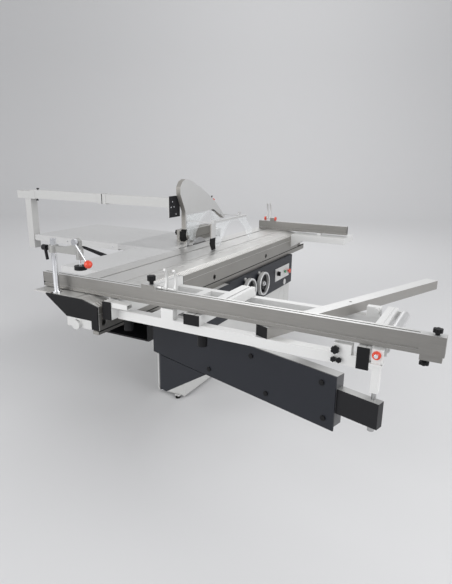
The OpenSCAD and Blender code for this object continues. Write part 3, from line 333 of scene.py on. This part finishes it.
clear_sheet = clear_plastic()
red_plastic = surface("red_gloss_plastic", (0.70, 0.055, 0.02), 0.25, spread=0.04, bump=0.01, coat=0.4)
hood_alloy = surface("hood_alloy", (0.60, 0.60, 0.595), 0.42, 0.3, (5, 5, 5), 0.03, 0.05, 80)
rim_alloy = surface("hood_rim_alloy", (0.36, 0.345, 0.32), 0.42, 0.5, (5, 5, 5), 0.04, 0.05, 80)
dress("guard_post", grey_coat, 0.002, [
    (black_plastic, (-1.60, -0.37, 1.21), (-1.54, -0.28, 1.2349)),  # knob below the arm
])
dress("guard_arm", grey_coat, 0.002, [
    (black_coat, (-0.0435, -0.37, 1.15), (-0.034, -0.20, 1.34)),  # plate at the hood
    (chrome, (-0.0341, -0.37, 1.15), (-0.02, -0.20, 1.34)),  # bolts of that plate
    (black_coat, (-0.7352, -0.36, 1.24), (-0.7265, -0.28, 1.318)),  # seam of the two flanges
    (black_plastic, (-1.60, -0.36, 1.3178), (-1.45, -0.28, 1.40)),  # knobs above the post
])
dress("guard_hood", hood_alloy, 0.0, [
    (rim_alloy, (-0.0335, -1.0, 0.9), (0.0055, 1.0, 2.0)),  # rim between the two sides
    (red_plastic, (-0.04, 0.28, 1.252), (0.02, 0.35, 1.30)),  # knob on the far slope
    (black_coat, (-0.04, 0.255, 1.273), (0.02, 0.30, 1.32)),  # its stud
])
dress("guard_screens", clear_sheet, 0.0)
dress("shroud_frame", hood_alloy, 0.001, [
    (rim_alloy, (0.2, -0.213, 1.0), (0.28, -0.2115, 1.13)),  # near edge
])
dress("guard_brushes", black_rubber, 0.0005)

# Saw unit
# Cast trunnions and arbor carrier, a ribbed motor, a polished blade with carbide teeth and a
# steel riving knife. It hangs under the table and tilts in two half-moon shoes.
cast_iron = surface("rough_cast_iron", (0.20, 0.20, 0.20), 0.6, 0.5, (8, 8, 8), 0.15, 0.35, 60)
blade_steel = surface("blade_steel", (0.62, 0.62, 0.63), 0.22, 1.0, (1, 30, 30), 0.05, 0.04, 30)
anthracite = surface("anthracite_powder_coat", (0.016, 0.018, 0.024), 0.40, spread=0.08, bump=0.12,
                     speck=420, shine=0.3)
dress("tilt_frame", cast_iron, 0.0015)
dress("arbor_carrier", cast_iron, 0.0015)
dress("main_motor", anthracite, 0.002)
dress("drive_belt", black_rubber, 0.0)
dress("motor_pulley", cast_iron, 0.0008)
dress("riving_knife", blade_steel, 0.0003)
dress("saw_blade", blade_steel, 0.0)
dress("scoring_blade", blade_steel, 0.0)

# Controls
# An anthracite panel runs under the beam. It holds two handwheels with light rims and dark
# dishes, and a light plate with the start and stop buttons and the mains switch.
green_plastic = surface("green_gloss_plastic", (0.02, 0.27, 0.12), 0.28, spread=0.04, bump=0.01, coat=0.4)
dress("control_panel", anthracite, 0.0015, [
    (light_alloy, (0.4985, 0.60, 0.40), (0.51, 0.96, 0.615)),  # control plate and round cover
    (light_alloy, (0.4985, -0.04, 0.53), (0.512, 0.29, 0.58)),  # bosses of the handwheels
])
for wheel in ("rise_handwheel", "tilt_handwheel"):
    low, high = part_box(wheel)
    middle = (low + high) / 2
    dress(wheel, light_alloy, 0.0008, [
        (black_plastic, (0.5195, low.y, low.z), (0.5263, high.y, high.z)),  # dish
        (black_plastic, (0.5262, middle.y - 0.047, middle.z - 0.068),  # grip
         (0.565, middle.y - 0.021, middle.z - 0.042)),
        (chrome, (0.5421, middle.y - 0.018, middle.z - 0.018),  # nut
         (0.552, middle.y + 0.018, middle.z + 0.018)),
    ])
dress("start_button", green_plastic, 0.0015)
dress("stop_button", red_plastic, 0.004)
dress("mains_switch", black_plastic, 0.0015)
for lever in ("rise_lock_lever", "tilt_lock_lever"):
    dress(lever, light_alloy, 0.0015)

# Sliding table
# A long anodised extrusion with a clamping groove and fine anti-slip ribs, closed by black
# plastic caps. A chromed column with a foot flange stands at its outfeed end.
anodised_table = surface("anodised_table", (0.64, 0.635, 0.62), 0.33, 0.7, along_y, 0.07, 0.08, 40)
slide_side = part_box("sliding_table")[1].x
# The carriage's outer side face is painted darker than its top: painted shade on one anodised extrusion.
dress("sliding_table", anodised_table, 0.0, [
    (anodised_y, (slide_side - 0.001, -3.0, 0.70), (slide_side + 0.001, 3.0, 0.8795)),  # outer side face, painted shade: the same extrusion given the darker beam alloy
])


def grip_strip():
    """The toothed anti-slip strip on the sliding table's sloping outer edge, with painted shade between the
    teeth.
    """
    low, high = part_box("sliding_table")
    teeth, pitch, margin = 149, 0.02, 0.02
    slope = Matrix.Rotation(math.atan2(0.017, 0.034), 4, "Y")

    def sloped_box(x, y, z, width, length, height):
        bmesh.ops.create_cube(bm, size=1, matrix=Matrix.Translation((x, y, z)) @ slope
                              @ Matrix.Diagonal((width, length, height, 1)))

    bm = bmesh.new()
    sloped_box(0.4626, (low.y + high.y) / 2, 0.8779, 0.034, high.y - low.y - margin, 0.0012)
    # The sheet under the teeth takes the darker alloy: painted shade in the grooves between the teeth.
    for face in bm.faces:
        face.material_index = 1
    for i in range(teeth):
        sloped_box(0.4628, low.y + margin + pitch * i, 0.8782, 0.030, 0.0075, 0.003)
    shell("grip_strip", bm, [light_alloy, rim_alloy], "carriage")


def beam_seal():
    """The black wiper strip that closes the gap between the beam and the sliding table."""
    low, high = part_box("fixed_beam")
    low = Vector((high.x - 0.006, low.y + 0.004, 0.7235))
    high = Vector((high.x + 0.001, high.y - 0.004, 0.7345))
    size = Matrix.Diagonal((high - low).to_4d())
    size[3][3] = 1
    bm = bmesh.new()
    bmesh.ops.create_cube(bm, size=1, matrix=Matrix.Translation((low + high) / 2) @ size)
    shell("beam_seal", bm, [black_rubber], "machine_frame", 0.001)


grip_strip()
beam_seal()
dress("caps_and_knobs", black_plastic, 0.001)
dress("clamp_column", chrome, 0.001)

# Outrigger
# Light square tubes with a roller and a grooved rail, black end caps and black clamping knobs.
# A square strut with a red ring stands on the swing arm's pin.
tube_alloy = surface("tube_alloy", (0.72, 0.72, 0.71), 0.38, 0.15, (5, 5, 5), 0.03, 0.05, 90)
bar_alloy = surface("bar_alloy", (0.34, 0.33, 0.315), 0.36, 0.7, (6, 6, 6), 0.05, 0.06, 60)
dress("outrigger_tubes", tube_alloy, 0.0012)
dress("outrigger_rails", tube_alloy, 0.0012)
dress("outrigger_strut", tube_alloy, 0.0012, [
    (red_plastic, (1.89, -1.7145, 0.85), (1.93, -1.7041, 0.895)),  # ring
    (chrome, (1.895, -1.7225, 0.86), (1.925, -1.7141, 0.89)),  # nut in the ring
])
dress("support_bar", bar_alloy, 0.0015, [
    (black_plastic, (1.33, -1.73, 0.84), (1.44, -1.64, 0.91)),  # end cap
], top=tube_alloy)
roller_steel = surface("roller_steel", (0.68, 0.68, 0.68), 0.38, 0.7, along_y, 0.06, 0.06, 40)
dress("support_roller", roller_steel, 0.001)

# Hold-down clamp
# A grey cast arm on the chromed column, a spindle with a black pad, a black lock lever and
# a chromed lever with a red ball.
cast_grey = surface("painted_casting", (0.33, 0.33, 0.32), 0.45, 0.4, (6, 6, 6), 0.06, 0.2, 90)
dress("clamp_arm", cast_grey, 0.003)
dress("clamp_lever", black_coat, 0.002)
dress("clamp_pad", chrome, 0.001, [
    (black_plastic, (0.30, -1.78, 1.045), (0.39, -1.69, 1.0725)),  # pad below the spindle
])
dress("clamp_ball_lever", chrome, 0.0, [
    (red_plastic, (0.395, -1.781, 1.066), (0.443, -1.733, 1.115)),  # ball
])

# Fences on the sliding table
# Tall anodised extrusions with a face groove, end caps, and light flip stops on top. Their upper faces take
# the light alloy as a painted highlight.
# top=light_alloy paints the fence's upper faces lighter: a painted highlight.
dress("short_fence", anodised_x, 0.0008, [
    (light_alloy, (0.178, 1.18, 0.9872), (0.226, 1.23, 1.0215)),  # block of the far stop
], top=light_alloy)
dress("side_frame", tube_alloy, 0.0015)
# top=light_alloy paints the fence's upper faces lighter: a painted highlight.
dress("crosscut_fence", anodised_x, 0.0008, [
    (black_plastic, (-0.016, -1.69, 0.90), (-0.0098, -1.63, 0.99)),  # end cap
    (light_alloy, (0.05, -1.6349, 0.89), (0.19, -1.59, 0.93)),  # foot on the mitre pivot
    (light_alloy, (0.699, -1.69, 0.9872), (0.787, -1.63, 1.008)),  # block of the near stop
], top=light_alloy)
dress("fence_knobs", black_plastic, 0.0008)
# top=light_alloy paints the extension's upper faces lighter: a painted highlight.
dress("fence_extension", anodised_x, 0.0015, [
    (black_plastic, (2.08, -1.70, 0.9872), (2.16, -1.61, 1.02)),  # upper knob
    (black_plastic, (2.05, -1.70, 0.84), (2.12, -1.61, 0.8768)),  # lower knob
], top=light_alloy)
dress("near_flip_stop", light_alloy, 0.001)
dress("far_flip_stop", light_alloy, 0.001, [
    (red_plastic, (0.1105, 1.18, 0.985), (0.1251, 1.23, 1.04)),  # left knob
    (red_plastic, (0.2252, 1.18, 0.985), (0.2375, 1.23, 1.04)),  # right knob
])

# Swing arm
# A folded anthracite cover in front of a welded box, with a black tube that telescopes in it
# and ends in the chromed pin under the strut.
arm_steel = surface("arm_steel", (0.42, 0.42, 0.415), 0.42, 0.5, (4, 4, 4), 0.05, 0.08, 70)
pivot = sum(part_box("arm_pivot_pin"), Vector()) / 2
tip = sum(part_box("strut_pin"), Vector()) / 2
arm_place = Matrix.Translation((pivot.x, pivot.y, 0)) @ Matrix.Rotation(
    math.atan2(tip.y - pivot.y, tip.x - pivot.x), 4, "Z")
dress("swing_arm_cover", anthracite, 0.0015, [
    (black_plastic, (-1.0, -0.0485, 0.0), (3.0, -0.0422, 1.0)),  # bolt heads on the front
], arm_place.inverted())
dress("swing_arm_box", surface("arm_box_paint", (0.10, 0.10, 0.105), 0.45, speck=300), 0.0012, [
    (arm_steel, (0.0, -3.0, 0.7305), (3.0, 0.0, 0.7315)),  # top
])
dress("telescopic_tube", black_coat, 0.002, [
    (arm_steel, (0.0, -3.0, 0.6705), (3.0, 0.0, 0.6715)),  # top
])
dress("strut_pin", surface("pin_steel", (0.45, 0.45, 0.45), 0.25, 1.0, bump=0.02), 0.001)
